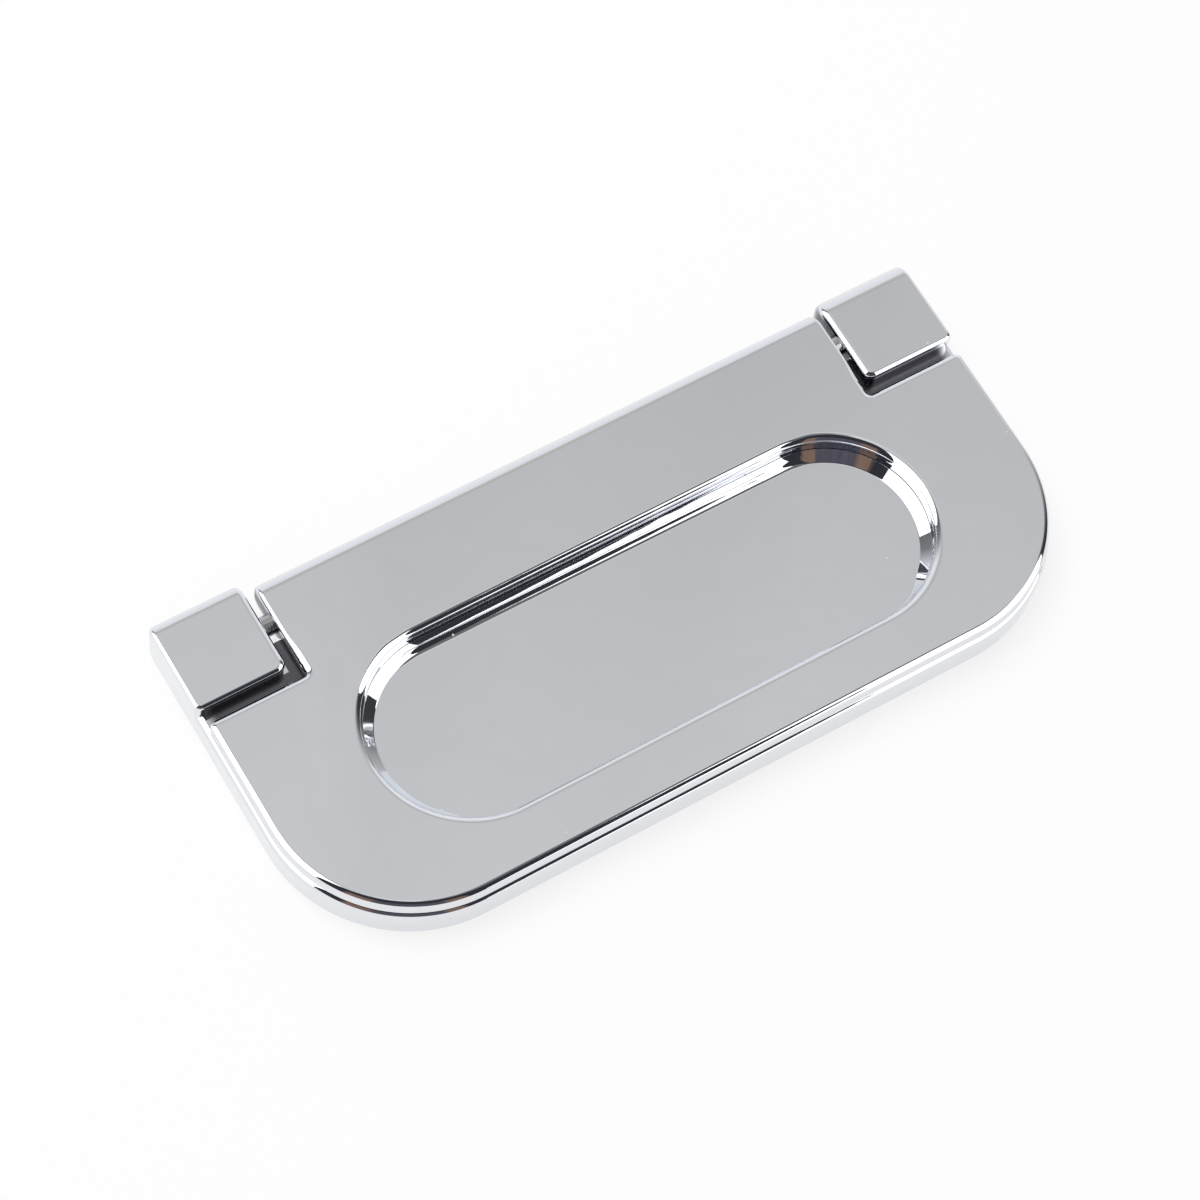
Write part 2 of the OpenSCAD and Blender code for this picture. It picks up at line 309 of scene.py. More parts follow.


# Finishes

# Gaps round the hinge blocks, in millimetres: where the painted shade begins and where it is full
GAP_TOP, GAP_FOOT = (7.2, 6.4), (3.0, 5.0)
BLOCK_FRONT, BLOCK_SIDE = (13.45, 13.25), (46.15, 45.95)
NOTCH_FRONT, NOTCH_SIDE = (10.8, 11.1), (44.0, 44.5)
GAP_OUTER_END, GAP_BACK_END = (59.4, 57.4), (27.5, 25.5)

# Plating: sizes of its haze, waviness and dust as texture scales, and what each does to it
HAZE_SCALE, HAZE_DETAIL, HAZE_GRAIN = 55.0, 4.0, 0.6
HAZE_TONE, HAZE_ROUGH = 0.97, 0.03
WAVE_SCALE, WAVE_DETAIL, WAVE_DEPTH = 130.0, 1.0, 0.04 * MM
DUST_SCALE, DUST_RADIUS, DUST_RARITY, DUST_ROUGH = 85.0, 0.013, 0.72, 0.4
# Extra roughness where shade is painted into the gaps
GAP_SHADE_ROUGH = 0.22

# Pins: the fine rings that turning leaves, close together along the pin
RING_SCALE, RING_DETAIL = (9000.0, 60.0, 60.0), 2.0
RING_TONE, RING_ROUGH = 0.8, 0.15
RING_DEPTH, RING_STRENGTH = 0.02 * MM, 0.3


def gap_shade_mask(wire, place):
    """1 in the narrow gaps between the flap and the blocks, where shade is painted into the plating."""
    x, y, z = (coordinate(wire, place, axis) for axis in "XYZ")
    x = wire.maths("ABSOLUTE", x)

    def within(value, limits):
        begins, full = limits
        return smooth(wire, value, begins * MM, full * MM)

    deep = within(z, GAP_TOP) * within(z, GAP_FOOT)
    front = within(y, BLOCK_FRONT) * within(x, GAP_OUTER_END)
    side = within(x, BLOCK_SIDE) * within(y, GAP_BACK_END)
    inside = within(y, NOTCH_FRONT) * within(x, NOTCH_SIDE)
    return deep * inside * wire.maths("MAXIMUM", front, side)


def dust_specks(wire, place):
    """1 on a few small specks, one at the seed of each chosen cell."""
    cells = {"Vector": place, "Scale": DUST_SCALE, "Randomness": 1.0}
    near = wire.node("ShaderNodeTexVoronoi", {"voronoi_dimensions": "2D"}, cells, "Distance")
    pick = wire.node("ShaderNodeTexVoronoi", {"voronoi_dimensions": "2D"}, cells, "Color")
    chosen = wire.node("ShaderNodeSeparateColor", None, {"Color": pick}, "Red")
    return wire.maths("LESS_THAN", near, DUST_RADIUS) * wire.maths("GREATER_THAN", chosen, DUST_RARITY)


def bright_plating(finish):
    """Bright plating: a mirror with a faint haze, a slow waviness, a few dust specks, and painted shade in
    the gaps beside the hinge blocks, darker and rougher there.
    """
    made, wire = new_material("bright_plating")
    place = wire.node("ShaderNodeTexCoord", out="Object")
    haze = noise(wire, place, HAZE_SCALE, HAZE_DETAIL, HAZE_GRAIN)
    wave = noise(wire, place, WAVE_SCALE, WAVE_DETAIL)
    speck = dust_specks(wire, place)
    # Mask of the painted shade in the gaps beside the hinge blocks
    gap = gap_shade_mask(wire, place)
    hazy = [part * HAZE_TONE for part in finish.plating]
    dusty = mix(wire, speck, mix(wire, haze, hazy, finish.plating), finish.dust)
    bump = wire.node("ShaderNodeBump", None, {"Strength": 1.0, "Distance": WAVE_DEPTH, "Height": wave})
    skin = wire.node("ShaderNodeBsdfPrincipled", None, {
        # The base colour runs to painted shade in the gaps
        "Base Color": mix(wire, gap, dusty, finish.gap_shade_colour), "Metallic": 1.0, "Normal": bump,
        "Roughness": finish.polish + HAZE_ROUGH * haze + DUST_ROUGH * speck + GAP_SHADE_ROUGH * gap})
    wire.node("ShaderNodeOutputMaterial", None, {"Surface": skin})
    return made


def pin_steel(finish):
    """Turned steel: fine rings along the pin."""
    made, wire = new_material("pin_steel")
    place = wire.node("ShaderNodeTexCoord", out="Object")
    stretch = wire.node("ShaderNodeMapping", None, {"Vector": place, "Scale": RING_SCALE})
    rings = noise(wire, stretch, 1.0, RING_DETAIL)
    dull = [part * RING_TONE for part in finish.steel]
    bump = wire.node("ShaderNodeBump", None, {
        "Strength": RING_STRENGTH, "Distance": RING_DEPTH, "Height": rings})
    skin = wire.node("ShaderNodeBsdfPrincipled", None, {
        "Base Color": mix(wire, rings, dull, finish.steel), "Metallic": 1.0, "Normal": bump,
        "Roughness": finish.turning + RING_ROUGH * rings})
    wire.node("ShaderNodeOutputMaterial", None, {"Surface": skin})
    return made


def plating(context):
    """The plating, made once for both castings."""
    return bpy.data.materials.get("bright_plating") or bright_plating(context.scene.handle_finish)


# Mesh helpers

QUARTER = pi / 2
UP, DOWN = (0, 0, 1), (0, 0, -1)
SIDES = (1, -1)

# Steps along the arcs, from the large ones to the small ones
SLOT_STEPS, CORNER_STEPS, SCREW_STEPS, BORE_STEPS = 72, 60, 40, 36
BACK_STEPS, BELLY_STEPS, FOOT_STEPS, POST_STEPS = 20, 18, 14, 12
EDGE_STEPS, ROOT_STEPS, RIM_STEPS = 10, 8, 4

# Points to a millimetre that can be told apart, and the step and area that count as none
WELD_GRID, NO_STEP, NO_AREA = 1e4, 1e-5, 1e-9

# How far a slot's normal points along its far or near side: where the change begins and ends
FAR_SIDE, NEAR_SIDE = (0.94, 0.99), (0.75, 0.95)


def add_object(name, data):
    """A new object in the scene."""
    made = bpy.data.objects.new(name, data)
    bpy.context.scene.collection.objects.link(made)
    return made


class Shell:
    """Collects faces in millimetres, with a normal at every corner, and welds them into one mesh."""

    def __init__(self):
        self.numbers = {}
        self.points = []
        self.faces = []
        self.normals = []

    def point(self, place):
        """Number of the point at a place."""
        key = tuple(round(part * WELD_GRID) for part in place)
        if key not in self.numbers:
            self.numbers[key] = len(self.points)
            self.points.append(Vector(place))
        return self.numbers[key]

    def face(self, corners):
        """One face from (place, normal) corners, turned to look along its normals."""
        ids, normals = [], []
        for place, normal in corners:
            at = self.point(place)
            if at not in ids:
                ids.append(at)
                normals.append(Vector(normal))
        if len(ids) < 3:
            return
        ring = [self.points[at] for at in ids]
        area = Vector((0.0, 0.0, 0.0))
        for a, b in zip(ring, ring[1:] + ring[:1]):
            area += a.cross(b)
        if area.length < NO_AREA:
            return
        if area.dot(sum(normals, Vector((0.0, 0.0, 0.0)))) < 0:
            ids.reverse()
            normals.reverse()
        self.faces.append(ids)
        self.normals.extend(normals)

    def grid(self, rows):
        """Quads between neighbouring rows of (place, normal) corners."""
        for low, high in zip(rows, rows[1:]):
            for a, b, c, d in zip(low, low[1:], high[1:], high):
                self.face([a, b, c, d])

    def flat(self, loops, normal):
        """A flat face with one outer loop and any number of holes."""
        clean = []
        for loop in loops:
            ring = []
            for place in loop:
                if not ring or (Vector(place) - Vector(ring[-1])).length > NO_STEP:
                    ring.append(place)
            if (Vector(ring[0]) - Vector(ring[-1])).length < NO_STEP:
                ring.pop()
            clean.append([Vector(place) for place in ring])
        every = [place for ring in clean for place in ring]
        for corners in tessellate_polygon(clean):
            self.face([(every[at], normal) for at in corners])

    def finish(self, name, material):
        """The object with all the faces, in metres."""
        mesh = bpy.data.meshes.new(name)
        mesh.from_pydata([point * MM for point in self.points], [], self.faces)
        mesh.polygons.foreach_set("use_smooth", [True] * len(self.faces))
        mesh.normals_split_custom_set(self.normals)
        mesh.materials.append(material)
        return add_object(name, mesh)


def arc(centre, radius, start, end, steps, inward=False):
    """(place, normal) pairs along an arc in a plane, angles in degrees."""
    pairs = []
    for step in range(steps + 1):
        turn = radians(start + (end - start) * step / steps)
        way = (cos(turn), sin(turn))
        place = (centre[0] + radius * way[0], centre[1] + radius * way[1])
        pairs.append((place, (-way[0], -way[1]) if inward else way))
    return pairs


def front_corner(sizes):
    """The right-hand front corner of a casting's outline."""
    centre = (sizes.half_x - sizes.corner, sizes.front + sizes.corner)
    return arc(centre, sizes.corner, 0, -90, CORNER_STEPS)


def mirrored(path):
    """The path carried on through its mirror image, back to the other end."""
    return path + [((-x, y), (-nx, ny)) for (x, y), (nx, ny) in reversed(path)]


def slot_path(middle_x, middle_y, radius):
    """Closed path round a slot, with normals into it."""
    path = (arc((middle_x, middle_y), radius, -90, 90, SLOT_STEPS, True)
            + arc((-middle_x, middle_y), radius, 90, 270, SLOT_STEPS, True))
    return path + path[:1]


def circle(x, y, z, radius):
    """Circle about a line along X."""
    turns = [2 * pi * step / BORE_STEPS for step in range(BORE_STEPS)]
    return [(x, y + radius * cos(turn), z + radius * sin(turn)) for turn in turns]


def ease(value, low, high):
    """0 below low, 1 above high and a smooth change between them."""
    part = min(1.0, max(0.0, (value - low) / (high - low)))
    return part * part * (3.0 - 2.0 * part)


def far_share(normal):
    """1 along the far side of a slot, 0 round its ends and along the near side."""
    return ease(-normal[1], *FAR_SIDE)


def near_share(normal):
    """1 along the near side of a slot, 0 round its ends and along the far side."""
    return ease(normal[1], *NEAR_SIDE)


def spread(first, last, row):
    """Values that change evenly from first to last, one for each member of a row."""
    return [first + (last - first) * step / (len(row) - 1) for step in range(len(row))]


def top_round(top, radius):
    """Profile of a roundover, from the top face to the wall."""
    turns = [QUARTER * step / EDGE_STEPS for step in range(EDGE_STEPS + 1)]
    return [(radius * (1 - sin(t)), top - radius * (1 - cos(t)), sin(t), cos(t)) for t in turns]


def low_round(low, radius):
    """Profile of a break at the foot of a wall, from the wall to the underside."""
    turns = [QUARTER * (1 - step / EDGE_STEPS) for step in range(EDGE_STEPS + 1)]
    return [(radius * (1 - sin(t)), low + radius * (1 - cos(t)), sin(t), -cos(t)) for t in turns]


def varied(path, profiles):
    """Rows of corners along a plan path, where every point of the path has its own profile.

    A profile holds (inset, height, outward part of the normal, upward part of the normal)."""
    rows = []
    for level in range(len(profiles[0])):
        row = []
        for ((x, y), (nx, ny)), profile in zip(path, profiles):
            inset, z, out, up = profile[level]
            row.append(((x - nx * inset, y - ny * inset, z), (nx * out, ny * out, up)))
        rows.append(row)
    return rows


def swept(path, profile):
    """Rows of corners along a plan path with one profile."""
    return varied(path, [profile] * len(path))


def side_round(side, x, spine):
    """Roundover between a swept section and its end wall at x; side is 1 or -1.

    spine holds (place, normal, radius) in the Y-Z plane. The last row lies on the end wall."""
    rows = []
    for step in range(EDGE_STEPS + 1):
        t = QUARTER * step / EDGE_STEPS
        row = []
        for (y, z), (ny, nz), radius in spine:
            inset = radius * (1 - cos(t))
            row.append(((x - side * radius * (1 - sin(t)), y - ny * inset, z - nz * inset),
                        (side * sin(t), ny * cos(t), nz * cos(t))))
        rows.append(row)
    return rows


def with_radii(path, radii):
    """A spine for side_round from a path and its radii."""
    return [(place, normal, radius) for (place, normal), radius in zip(path, radii)]


def places(row):
    """The places of a row of corners."""
    return [place for place, normal in row]


# Flap

# The lower break's share of full size per share of the taper, and the steps in which it ends on the rail
BREAK_GROWTH, BREAK_END = 3.0, 6


def flap_half(flap, rail_y):
    """Right-hand half of the flap's outline from the back to the front, with its edge radii."""
    edge, notch, bore, low = flap.edge, flap.notch_edge, flap.bore_edge, flap.low_edge
    wall, line, out, root = flap.notch_x, flap.notch_y, flap.notch_out, flap.notch_in
    path, tops, lows = [((wall, flap.back - flap.back_r), (1, 0))], [bore], [0.0]
    for step in range(EDGE_STEPS + 1):
        along = step / EDGE_STEPS
        path.append(((wall, rail_y - along * flap.taper), (1, 0)))
        tops.append(bore + (notch - bore) * ease(along, 0.0, 1.0))
        lows.append(low * min(1.0, BREAK_GROWTH * along))
    inner = arc((wall + root, line + root), root, 180, 270, ROOT_STEPS, True)
    outer = arc((flap.half_x - out, line - out), out, 90, 0, EDGE_STEPS)
    corner = front_corner(flap)
    path += inner + outer + corner
    tops += [notch] * len(inner) + spread(notch, edge, outer) + [edge] * len(corner)
    lows += [low] * (len(inner) + len(outer) + len(corner))
    return path, tops, lows


def add_flap_plate(shell, flap, rail_y):
    """Outline, opening and flat faces of the flap; gives the rows of its lower break."""
    half, tops, lows = flap_half(flap, rail_y)
    path, tops, lows = mirrored(half), tops + tops[::-1], lows + lows[::-1]
    upper = varied(path, [top_round(flap.top, radius) for radius in tops])
    shell.grid(upper)
    lower = varied(path[1:-1], [low_round(flap.under, radius) for radius in lows[1:-1]])
    shell.grid([upper[-1][1:-1]] + lower)

    slot = slot_path(flap.slot_x, flap.slot_y, flap.slot_r)
    edges = [flap.slot_edge + (flap.slot_far - flap.slot_edge) * far_share(normal) for place, normal in slot]
    foot = low_round(flap.under, flap.slot_low)
    rim = varied(slot, [top_round(flap.top, radius) + foot for radius in edges])
    shell.grid(rim)
    shell.flat([places(upper[0]), places(rim[0])], UP)
    shell.flat([places(lower[-1]), places(rim[-1])], DOWN)
    return lower


def add_flap_rail(shell, flap, rail_y):
    """Rounded back and rail of the flap; gives the outline of its end wall on either side."""
    edge, low, bore = flap.edge, flap.low_edge, flap.bore_edge
    back = arc((flap.back - flap.back_r, flap.top - flap.back_r), flap.back_r, 90, 0, BACK_STEPS)
    tail_at = (flap.back - flap.rail_back, HINGE_Z - flap.rail_r + flap.rail_back)
    tail = arc(tail_at, flap.rail_back, 0, -90, FOOT_STEPS)
    belly_end = -180 + degrees(atan2(HINGE_Z - flap.under, HINGE_Y - rail_y))
    belly = arc((HINGE_Y, HINGE_Z), flap.rail_r, -90, belly_end, BELLY_STEPS)
    fading = [low * min(1.0, (BELLY_STEPS - step) / BREAK_END) for step in range(len(belly))]
    spine = with_radii(back + tail + belly, spread(bore, edge, back) + spread(edge, low, tail) + fading)
    ends = {side: side_round(side, side * flap.notch_x, spine) for side in SIDES}
    for side in SIDES:
        shell.grid(ends[side])
    shell.grid([ends[-1][0], ends[1][0]])
    return {side: places(rows[-1]) for side, rows in ends.items()}


def add_rail_end(shell, flap, side, outline):
    """End wall of the rail with the bore for a pin."""
    x, radius = side * flap.notch_x, flap.bore
    mouth = circle(x, HINGE_Y, HINGE_Z, radius)
    shell.flat([outline, mouth], (side, 0, 0))
    foot = circle(side * flap.bore_end, HINGE_Y, HINGE_Z, radius)
    spokes = [(0, (HINGE_Y - y) / radius, (HINGE_Z - z) / radius) for _, y, z in mouth]
    rows = [list(zip(ring, spokes)) for ring in (mouth, foot)]
    shell.grid([row + row[:1] for row in rows])
    shell.flat([foot], (side, 0, 0))


def build_flap(flap, material):
    """The flap: rounded plate with its opening, notches, hinge rail and pin bores."""
    shell = Shell()
    rail_y = HINGE_Y - sqrt(flap.rail_r ** 2 - (HINGE_Z - flap.under) ** 2)
    lower = add_flap_plate(shell, flap, rail_y)
    ends = add_flap_rail(shell, flap, rail_y)
    for side in SIDES:
        column = [row[0 if side > 0 else -1] for row in reversed(lower)]
        corner = (side * flap.notch_x, rail_y, flap.top - flap.bore_edge)
        add_rail_end(shell, flap, side, ends[side] + places(column) + [corner])
    made = shell.finish("flap_shell", material)
    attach(made, "flap")
    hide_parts("flap")


# Base

CORE_COLUMNS, CORE_ROWS = 4, 2


def post_column(base, ledge):
    """Points where the plate's edge, given as (x, z), meets a block's outer upright corner, with normals."""
    radius = base.block_out
    post_x, post_y = base.half_x - radius, base.block_y + radius
    column = []
    for x, z in ledge:
        out = x - post_x
        ahead = sqrt(max(0.0, radius ** 2 - out ** 2))
        column.append(((x, post_y - ahead), (out / radius, -ahead / radius)))
    return column


def add_block(shell, base, side, ledge):
    """One hinge block above and behind the plate; ledge holds the plate's edge as (x, z).

    Gives the plan of the block's upright corner beside the flap."""
    edge, lip, top, plate = base.block_edge, base.block_lip, base.block_top, base.top
    inner, outer, front = base.block_x - side * base.block_shift, base.half_x, base.block_y
    round_back = base.block_back if side > 0 else base.block_back_left
    root = (inner + base.block_in, front + base.block_in)
    post = (outer - base.block_out, front + base.block_out)
    bend_y, bend_z = base.back - round_back, top - round_back

    def grid(rows):
        shell.grid([[((side * x, y, z), (side * nx, ny, nz)) for (x, y, z), (nx, ny, nz) in row]
                    for row in rows])

    def flat(loop, normal):
        shell.flat([[(side * x, y, z) for x, y, z in loop]], normal)

    # top edges
    turn = arc(root, base.block_in, 180, 270, POST_STEPS)
    path = [((inner, bend_y), (-1.0, 0.0))] + turn + [((post[0], front), (0.0, -1.0))]
    path += post_column(base, ledge) + [((outer, bend_y), (1.0, 0.0))]
    edges = [lip] + spread(lip, edge, turn)
    edges += [edge] * (len(path) - len(edges))
    upper = varied(path, [top_round(top, radius) for radius in edges])
    grid(upper)

    # front wall, upright corners
    wall = upper[-1][1:-1]
    feet = [plate] * (len(turn) + 1) + [z for x, z in ledge]
    grid([wall, [((x, y, foot), normal) for ((x, y, z), normal), foot in zip(wall, feet)]])

    # rounded back and foot
    back = arc((bend_y, bend_z), round_back, 90, 0, BACK_STEPS)
    foot = arc((base.back - base.block_foot, base.block_foot), base.block_foot, 0, -90, FOOT_STEPS)
    ends = []
    for way, x, first, last in ((-1, inner, lip, 0.0), (1, outer, edge, base.low_edge)):
        radii = spread(first, base.block_side, back) + spread(base.block_side, last, foot)
        ends.append(side_round(way, x, with_radii(back + foot, radii)))
    inside, outside = ends
    for rows in (inside, outside, [inside[0], outside[0]]):
        grid(rows)
    flat(places(upper[0]), UP)

    # side walls
    flat(places(inside[-1]) + [(inner, base.rear, 0.0), (inner, base.rear, plate),
                               (inner, root[1], plate), (inner, root[1], top - lip)], (-side, 0, 0))
    flat(places(outside[-1]) + [(outer, post[1], base.low_edge), (outer, post[1], ledge[-1][1]),
                                (outer, post[1], top - edge)], (side, 0, 0))
    return places(turn)


def core_loops(base):
    """Rounded rectangles of the cores in the mounting face, with normals into them."""
    pitch_x = (2 * base.core_x + base.core_rib) / CORE_COLUMNS
    pitch_y = (base.core_back - base.core_front + base.core_rib) / CORE_ROWS
    r = base.core_corner
    loops = []
    for i in range(CORE_COLUMNS):
        for j in range(CORE_ROWS):
            x0, y0 = -base.core_x + i * pitch_x, base.core_front + j * pitch_y
            x1, y1 = x0 + pitch_x - base.core_rib, y0 + pitch_y - base.core_rib
            loop = []
            for centre, start in (((x1 - r, y1 - r), 0), ((x0 + r, y1 - r), 90),
                                  ((x0 + r, y0 + r), 180), ((x1 - r, y0 + r), 270)):
                loop += arc(centre, r, start, start + 90, ROOT_STEPS, True)
            loops.append(loop + loop[:1])
    return loops


def add_hole(shell, loop, depth):
    """A blind hole in the mounting face; gives its mouth."""
    walls = swept(loop, [(0.0, 0.0, 1.0, 0.0), (0.0, depth, 1.0, 0.0)])
    shell.grid(walls)
    shell.flat([places(walls[-1])], DOWN)
    return places(walls[0])


def pocket_cut(base, normal):
    """Profile of the pocket from its rim to its floor, at a point of its outline with this inward normal."""
    far, near = far_share(normal), near_share(normal)
    high = base.pocket_slope + far * base.pocket_rise + near * base.pocket_near
    low = high + far * base.pocket_belly
    rim, cove = base.pocket_rim, base.pocket_cove + far * (base.pocket_far - base.pocket_cove)
    cut = []
    for step in range(RIM_STEPS + 1):
        t = high * step / RIM_STEPS
        radius, z = base.pocket_top + rim * (tan(high / 2) - sin(t)), base.top - rim * (1 - cos(t))
        cut.append((radius, z, sin(t), cos(t)))
    drop = (z - base.pocket_z - cove * (1 - cos(low))) / EDGE_STEPS
    for step in range(EDGE_STEPS):
        radius -= drop / tan(high + (low - high) * (step + 0.5) / EDGE_STEPS)
        z -= drop
        t = high + (low - high) * (step + 1) / EDGE_STEPS
        cut.append((radius, z, sin(t), cos(t)))
    for step in range(1, EDGE_STEPS + 1):
        t = low * (1 - step / EDGE_STEPS)
        cut.append((radius - cove * (sin(low) - sin(t)), base.pocket_z + cove * (1 - cos(t)), sin(t), cos(t)))
    return cut


def add_plate_edge(shell, base, profile, ledge):
    """Edge, wall and lower break of the plate; gives its uppermost and lowest row."""
    bend = front_corner(base)
    rows = swept(mirrored(bend), profile)
    for row, ((x, y), normal), (inset, z, out, up) in zip(rows, post_column(base, ledge), profile):
        row.insert(0, ((x, y, z), (out, 0.0, up)))
        row.append(((-x, y, z), (-out, 0.0, up)))
    shell.grid(rows)
    foot_y, post_y = base.back - base.block_foot, base.block_y + base.block_out
    side = [((base.half_x, foot_y), (1.0, 0.0)), ((base.half_x, post_y), (1.0, 0.0))] + bend
    low = swept(mirrored(side), low_round(0.0, base.low_edge))
    shell.grid(low)
    shell.grid([rows[-1], low[0][1:-1]])
    return places(rows[0]), places(low[-1])


def build_base(base, material):
    """The base: plate with its finger pocket, two hinge blocks, cores and fixing holes."""
    shell = Shell()
    profile = top_round(base.top, base.edge)
    ledge = [(base.half_x - inset, z) for inset, z, out, up in profile]

    # blocks, with the plan of the plate's edge along each, from the outside in
    beside = {}
    for side in SIDES:
        turn = add_block(shell, base, side, ledge)
        beside[side] = [(base.half_x - base.block_out, base.block_y)] + turn[::-1]
        beside[side].append((turn[0][0], base.rear))
    upper, lower = add_plate_edge(shell, base, profile, ledge)

    # plate top with the pocket
    slot = slot_path(base.pocket_x, base.pocket_y, 0.0)
    pocket = varied(slot, [pocket_cut(base, normal) for place, normal in slot])
    shell.grid(pocket)
    shell.flat([places(pocket[-1])], UP)
    outline = upper + [(-x, y, base.top) for x, y in beside[-1]]
    outline += [(x, y, base.top) for x, y in reversed(beside[1])]
    shell.flat([outline, places(pocket[0])], UP)

    # rear wall
    left, right, y, top = -beside[-1][-1][0], beside[1][-1][0], base.rear, base.top
    shell.flat([[(left, y, 0.0), (right, y, 0.0), (right, y, top), (left, y, top)]], (0, 1, 0))

    # mounting face with its cores and fixing holes
    foot_y = base.back - base.block_foot
    face = lower + [(left, foot_y, 0.0), (left, y, 0.0), (right, y, 0.0), (right, foot_y, 0.0)]
    holes = [add_hole(shell, loop, base.core_depth) for loop in core_loops(base)]
    for side in SIDES:
        loop = arc((side * base.screw_x, HINGE_Y), base.screw_r, 0, 360, SCREW_STEPS, True)
        holes.append(add_hole(shell, loop, base.screw_depth))
    shell.flat([face] + holes, DOWN)
    made = shell.finish("base_shell", material)
    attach(made, "base")
    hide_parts("base_plate")


# Studio

# Panels round the handle that only reflections see. Corners are (turn, height) in degrees, where turn 0 is +X
# and 90 the back. Heights and turns hold (degrees, glow) stops, where a glow is a level of grey or a colour,
# and the two glows are multiplied. A panel without stops is the drape.
SOFTBOX = [(0, 2.0)]
PANELS = {
    "softbox_left": ([(130, 2), (193, 2), (193, 69), (125, 69), (128, 45)], SOFTBOX, []),
    "softbox_right": (
        [(281, 2), (334, 2), (336, 8), (339, 14), (345, 31), (352, 46), (362, 56), (368, 62), (302, 62),
         (298.5, 50), (295, 37), (290, 20), (287.3, 14), (284.2, 8.5), (281.5, 5)], SOFTBOX, []),
    "wall_back": (
        [(20, 2), (72, 2), (131, 2), (131, 45), (131, 86), (72, 86), (20, 86), (20, 45)],
        [(2, (0.95, 0.97, 1.0)), (15, (0.92, 0.94, 0.98)), (28, (0.90, 0.91, 0.95)), (36, 0.84),
         (44, (0.62, 0.60, 0.57)), (50, (0.545, 0.52, 0.485)), (55, 0.57), (59.6, 0.59), (64, 0.64),
         (68.4, 0.69), (78, 0.74), (86, 0.76)],
        [(20, 0.95), (32, 1.05), (40, 1.045), (45, 0.99), (52.5, 1.0), (58, 0.965), (62, 1.015), (68, 1.0),
         (104, 1.0), (112, 0.55), (119, 0.25), (131, 0.18)]),
    "wall_side": (
        [(-28, 2), (20, 2), (20, 45), (20, 86), (-17, 86), (-17, 45)],
        [(2, 0.9), (20, 0.8), (45, 0.7), (60, 0.85), (86, 1.1)],
        [(-28, 0.05), (-4, 0.06), (4, 0.22), (12, 0.5), (20, 0.72)]),
    "ceiling_left": (
        [(124, 69), (158, 69), (193, 69), (193, 86), (158, 86), (124, 86)], [(69, 0.66), (86, 0.72)], []),
    "ceiling_right": (
        [(296, 60), (330, 60), (370, 60), (370, 86), (330, 86), (296, 86)],
        [(60, 0.14), (70, 0.16), (78, 0.30), (86, 0.5)], []),
    "ceiling_front": (
        [(193, 80), (244, 80), (296, 80), (296, 86), (244, 86), (193, 86)], [(80, 0.30), (86, 0.34)], []),
    "drape_front": ([(193, 3), (244, 3), (300, 3), (300, 80), (244, 80), (193, 80)], [], []),
}
PANEL_STEP = 4.0

# The drape: colours round the handle, the heights between which it runs into the dark, and its folds
DARK, GREY, WOOD = (0.035, 0.037, 0.045), (0.095, 0.09, 0.115), (0.24, 0.155, 0.12)
DRAPE = [(193, DARK), (207, DARK), (210, WOOD), (221, WOOD), (224.5, GREY), (260.5, GREY),
         (263, WOOD), (270.5, WOOD), (273, DARK), (300, DARK)]
DRAPE_LIT, DRAPE_UNLIT = 40, 50
FOLD_SCALE, FOLD_DETAIL, FOLD_SWAY = 6.0, 3.0, 0.05
FOLD_DEEP, FOLD_HIGH = (0.65, 0.65, 0.65), (1.35, 1.35, 1.35)

# The camera's frame in millimetres and its clipping in metres
FRAME_WIDTH = 36.0
CLIP_NEAR, CLIP_FAR = 0.01, 100.0
# Half of the floor's side, as a multiple of the nearest panel's distance
FLOOR_REACH = 2.0
# Rays that show the white floor and surroundings
RAYS_SEEN = ("Is Camera Ray", "Is Glossy Ray", "Is Transmission Ray")


def panel_turn(wire, place, start, span):
    """Share of the way round from start, in degrees, over span."""
    x, y = (coordinate(wire, place, axis) for axis in "XY")
    middle = radians(start + span / 2)
    along, aside = x * cos(middle) + y * sin(middle), y * cos(middle) - x * sin(middle)
    return wire.maths("ARCTAN2", aside, along) * (1.0 / radians(span)) + 0.5


def tone(glow):
    """A glow as a colour; a plain number stands for grey."""
    return glow if isinstance(glow, tuple) else (glow, glow, glow)


def height_ramp(wire, way, stops):
    """The glow at the height of a direction, from stops in degrees."""
    level = coordinate(wire, way, "Z")
    ramp = [(sin(radians(height)), tone(glow)) for height, glow in stops]
    return wire.node("ShaderNodeValToRGB", {"stops": ramp}, {"Fac": level})


def turn_ramp(wire, place, stops, sway=0.0):
    """The glow round the handle, from stops in degrees; sway moves it sideways."""
    start, span = stops[0][0], stops[-1][0] - stops[0][0]
    ramp = [((turn - start) / span, tone(glow)) for turn, glow in stops]
    return wire.node("ShaderNodeValToRGB", {"stops": ramp}, {
        "Fac": panel_turn(wire, place, start, span) + sway})


def glowing(wire, shade):
    """Ends a panel's material with a plain glow."""
    light = wire.node("ShaderNodeEmission", None, {"Color": opaque(shade), "Strength": 1.0})
    wire.node("ShaderNodeOutputMaterial", None, {"Surface": light})


def panel_glow(name, heights, turns):
    """A glow that changes with height and round the handle."""
    made, wire = new_material(name)
    place = wire.node("ShaderNodeTexCoord", out="Object")
    way = wire.node("ShaderNodeVectorMath", {"operation": "NORMALIZE"}, {0: place})
    shade = height_ramp(wire, way, heights) if len(heights) > 1 else tone(heights[0][1])
    if turns:
        shade = multiply(wire, shade, turn_ramp(wire, way, turns))
    glowing(wire, shade)
    return made


